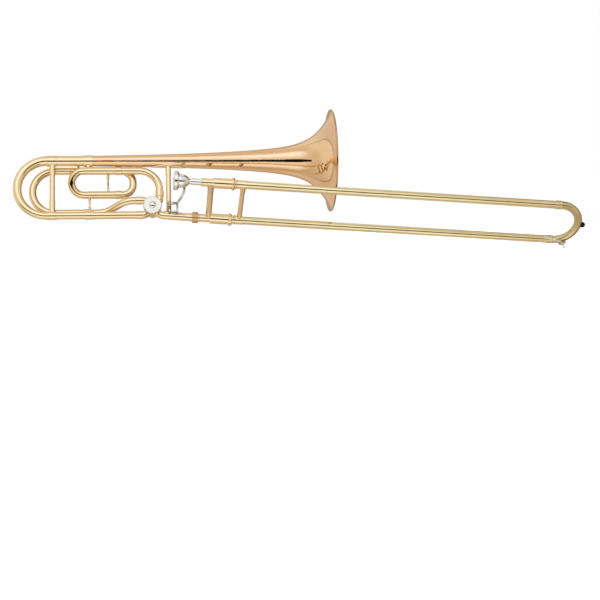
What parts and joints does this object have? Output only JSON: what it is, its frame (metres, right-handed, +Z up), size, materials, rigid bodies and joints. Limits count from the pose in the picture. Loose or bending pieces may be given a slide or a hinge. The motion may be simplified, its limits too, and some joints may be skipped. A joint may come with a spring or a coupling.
{
  "type": "tenor trombone",
  "caption": "Tenor trombone with a thumb-trigger rotary valve, closed-wrap F tubing, tuning slides, a long hand slide and a removable mouthpiece.",
  "frame": {"origin": "centre of the bell's rim", "axes": "+X out of the bell's mouth along the bell axis and down the hand slide; +Z up; the player's right hand side is -Y, and the bell section leans 20 degrees so that its top is towards +Y"},
  "size_m": [1.2151, 0.2356, 0.3018],
  "materials": {
    "bell": "clear lacquered rose brass, polished",
    "bell_rim_bead": "clear lacquered yellow brass, polished",
    "bell_ferrule": "clear lacquered yellow brass, polished",
    "bell_brace": "clear lacquered yellow brass, polished",
    "bell_brace_flange": "clear lacquered yellow brass, polished",
    "gooseneck_flange": "clear lacquered yellow brass, polished",
    "upper_outer_leg": "clear lacquered yellow brass, polished",
    "lower_outer_leg": "clear lacquered yellow brass, polished",
    "main_tube_ferrules": "clear lacquered yellow brass, polished",
    "lower_main_tube": "clear lacquered yellow brass, polished",
    "valve_knuckles": "clear lacquered yellow brass, polished",
    "valve_casing": "clear lacquered yellow brass, polished",
    "valve_cap": "silver plate, polished",
    "valve_cap_knob": "silver plate, polished",
    "valve_bearings": "clear lacquered yellow brass, polished",
    "rotor_stop_plate": "clear lacquered yellow brass, polished",
    "rotor_stop_corks": "cork",
    "gooseneck": "clear lacquered yellow brass, polished",
    "f_s_bend": "clear lacquered yellow brass, polished",
    "f_rear_loop": "clear lacquered yellow brass, polished",
    "f_right_bend": "clear lacquered yellow brass, polished",
    "f_quarter_bend": "clear lacquered yellow brass, polished",
    "f_outer_tubes": "clear lacquered yellow brass, polished",
    "f_ferrules": "clear lacquered yellow brass, polished",
    "f_posts": "clear lacquered yellow brass, polished",
    "trigger_hinge_lugs": "clear lacquered yellow brass, polished",
    "trigger_hinge_rod": "plain metal",
    "trigger_spring": "plain metal",
    "tuning_bow": "clear lacquered yellow brass, polished",
    "tuning_bow_ferrules": "clear lacquered yellow brass, polished",
    "tuning_inner_legs": "drawn nickel silver, smooth",
    "tuning_brace": "clear lacquered yellow brass, polished",
    "f_tuning_bow": "clear lacquered yellow brass, polished",
    "f_tuning_legs": "drawn nickel silver, smooth",
    "trigger_lever": "silver plate, polished",
    "rotor": "plain metal",
    "rotor_arm": "silver plate, polished",
    "trigger_link": "silver plate, polished",
    "slide_lock_nut": "clear lacquered yellow brass, polished",
    "slide_receiver": "clear lacquered yellow brass, polished",
    "mouthpiece_receiver": "clear lacquered yellow brass, polished",
    "inner_slide_tubes": "drawn nickel silver, smooth",
    "inner_brace": "clear lacquered yellow brass, polished",
    "cork_barrels": "clear lacquered yellow brass, polished",
    "barrel_end_ring": "clear lacquered yellow brass, polished",
    "slide_corks": "cork",
    "mouthpiece": "silver plate, polished",
    "slide_lock_ring": "clear lacquered yellow brass, polished",
    "outer_slide_tubes": "clear lacquered yellow brass, polished",
    "outer_slide_sleeves": "clear lacquered yellow brass, polished",
    "outer_brace": "clear lacquered yellow brass, polished",
    "slide_lock_stub": "clear lacquered yellow brass, polished",
    "crook": "clear lacquered yellow brass, polished",
    "crook_ferrules": "clear lacquered yellow brass, polished",
    "bumper_holder": "clear lacquered yellow brass, polished",
    "bumper": "black rubber",
    "water_key_saddle": "clear lacquered yellow brass, polished",
    "water_key_spring": "plain metal",
    "water_key_lever": "silver plate, polished",
    "water_key_cork": "cork"
  },
  "bodies": {
    "bell_section": {"bell": "bell", "bell_rim_bead": "bell_rim_bead", "bell_ferrule": "bell_ferrule", "bell_brace": "bell_brace", "bell_brace_flange": "bell_brace_flange", "gooseneck_flange": "gooseneck_flange", "upper_outer_leg": "upper_outer_leg", "lower_outer_leg": "lower_outer_leg", "main_tube_ferrules": "main_tube_ferrules", "lower_main_tube": "lower_main_tube", "valve_knuckles": "valve_knuckles", "valve_casing": "valve_casing", "valve_cap": "valve_cap", "valve_cap_knob": "valve_cap_knob", "valve_bearings": "valve_bearings", "rotor_stop_plate": "rotor_stop_plate", "rotor_stop_corks": "rotor_stop_corks", "gooseneck": "gooseneck", "f_s_bend": "f_s_bend", "f_rear_loop": "f_rear_loop", "f_right_bend": "f_right_bend", "f_quarter_bend": "f_quarter_bend", "f_outer_tubes": "f_outer_tubes", "f_ferrules": "f_ferrules", "f_posts": "f_posts", "trigger_hinge_lugs": "trigger_hinge_lugs", "trigger_hinge_rod": "trigger_hinge_rod", "trigger_spring": "trigger_spring"},
    "main_tuning_slide": {"tuning_bow": "tuning_bow", "tuning_bow_ferrules": "tuning_bow_ferrules", "tuning_inner_legs": "tuning_inner_legs", "tuning_brace": "tuning_brace"},
    "f_tuning_slide": {"f_tuning_bow": "f_tuning_bow", "f_tuning_legs": "f_tuning_legs"},
    "thumb_trigger": {"trigger_lever": "trigger_lever"},
    "rotor": {"rotor": "rotor", "rotor_arm": "rotor_arm"},
    "link": {"trigger_link": "trigger_link"},
    "lock_nut": {"slide_lock_nut": "slide_lock_nut"},
    "inner_slide": {"slide_receiver": "slide_receiver", "mouthpiece_receiver": "mouthpiece_receiver", "inner_slide_tubes": "inner_slide_tubes", "inner_brace": "inner_brace", "cork_barrels": "cork_barrels", "barrel_end_ring": "barrel_end_ring", "slide_corks": "slide_corks"},
    "mouthpiece": {"mouthpiece": "mouthpiece"},
    "slide_lock": {"slide_lock_ring": "slide_lock_ring"},
    "outer_slide": {"outer_slide_tubes": "outer_slide_tubes", "outer_slide_sleeves": "outer_slide_sleeves", "outer_brace": "outer_brace", "slide_lock_stub": "slide_lock_stub", "crook": "crook", "crook_ferrules": "crook_ferrules", "bumper_holder": "bumper_holder", "bumper": "bumper", "water_key_saddle": "water_key_saddle", "water_key_spring": "water_key_spring"},
    "water_key": {"water_key_lever": "water_key_lever", "water_key_cork": "water_key_cork"}
  },
  "joints": [
    {"name": "main_tuning", "type": "slide", "parent": "bell_section", "child": "main_tuning_slide", "axis": [-1, 0, 0], "range_m": [0, 0.055]},
    {"name": "f_tuning", "type": "slide", "parent": "bell_section", "child": "f_tuning_slide", "axis": [-1, 0, 0], "range_m": [0, 0.025]},
    {"name": "trigger", "type": "hinge", "parent": "bell_section", "child": "thumb_trigger", "pos_m": [-0.3505, -0.04659, -0.09584], "axis": [0, -0.342, -0.9397], "range_deg": [0, 23.5], "stiffness_Nm_per_rad": 0.12, "springref_deg": -28.65},
    {"name": "rotor_turn", "type": "hinge", "parent": "bell_section", "child": "rotor", "pos_m": [-0.386, -0.03574, -0.0982], "axis": [0, -0.9397, 0.342], "range_deg": [0, 90]},
    {"name": "link_pivot", "type": "hinge", "parent": "rotor", "child": "link", "pos_m": [-0.39378, -0.01312, -0.11471], "axis": [0, 0.9397, -0.342], "range_deg": [0, 90]},
    {"name": "lock_nut_turn", "type": "hinge", "parent": "bell_section", "child": "lock_nut", "pos_m": [-0.29701, -0.04351, -0.11954], "axis": [0.9974, -0.0245, -0.0673], "continuous": true},
    {"name": "slide_swivel", "type": "hinge", "parent": "bell_section", "child": "inner_slide", "pos_m": [-0.28803, -0.04373, -0.12015], "axis": [0.9974, -0.0245, -0.0673], "range_deg": [0, 30]},
    {"name": "mouthpiece_pull", "type": "slide", "parent": "inner_slide", "child": "mouthpiece", "axis": [-0.9974, 0.0245, 0.0673], "range_m": [0, 0.03]},
    {"name": "slide_lock_turn", "type": "hinge", "parent": "inner_slide", "child": "slide_lock", "pos_m": [-0.2235, -0.04532, -0.12451], "axis": [-0.9974, 0.0245, 0.0673], "range_deg": [0, 27]},
    {"name": "hand_slide", "type": "slide", "parent": "inner_slide", "child": "outer_slide", "axis": [0.9974, -0.0245, -0.0673], "range_m": [0, 0.6]},
    {"name": "water_key_press", "type": "hinge", "parent": "outer_slide", "child": "water_key", "pos_m": [0.49292, -0.07445, -0.17844], "axis": [-0.9277, 0.2585, -0.2693], "range_deg": [0, 12], "stiffness_Nm_per_rad": 0.05, "springref_deg": -22.92}
  ],
  "couplings": [
    {"joint": "rotor_turn", "follows": "trigger", "ratio": 3.829},
    {"joint": "link_pivot", "follows": "trigger", "ratio": 3.829}
  ]
}
